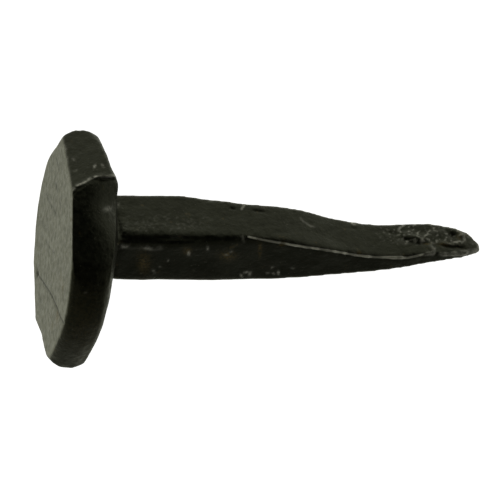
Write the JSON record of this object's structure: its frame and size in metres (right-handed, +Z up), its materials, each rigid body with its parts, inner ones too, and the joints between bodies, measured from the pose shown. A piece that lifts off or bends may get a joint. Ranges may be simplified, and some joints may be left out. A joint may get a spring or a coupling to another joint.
{
  "type": "rail spike",
  "caption": "Small black forged rail spike with a wide, thick, uneven head and a square shank pinched into a thin slanting point, driven into a wooden tie to hold a rail.",
  "frame": {"origin": "on the resting plane, under the middle of the spike as it lies on the rim of its head and on its point", "axes": "+X from the head towards the point along the resting plane, +Y across the spike towards the head's flat flank, +Z up from the resting plane"},
  "size_m": [0.013, 0.007, 0.0055],
  "materials": {
    "black_oxide_steel": "satin"
  },
  "bodies": {
    "root": {"spike": "black_oxide_steel"}
  },
  "joints": []
}
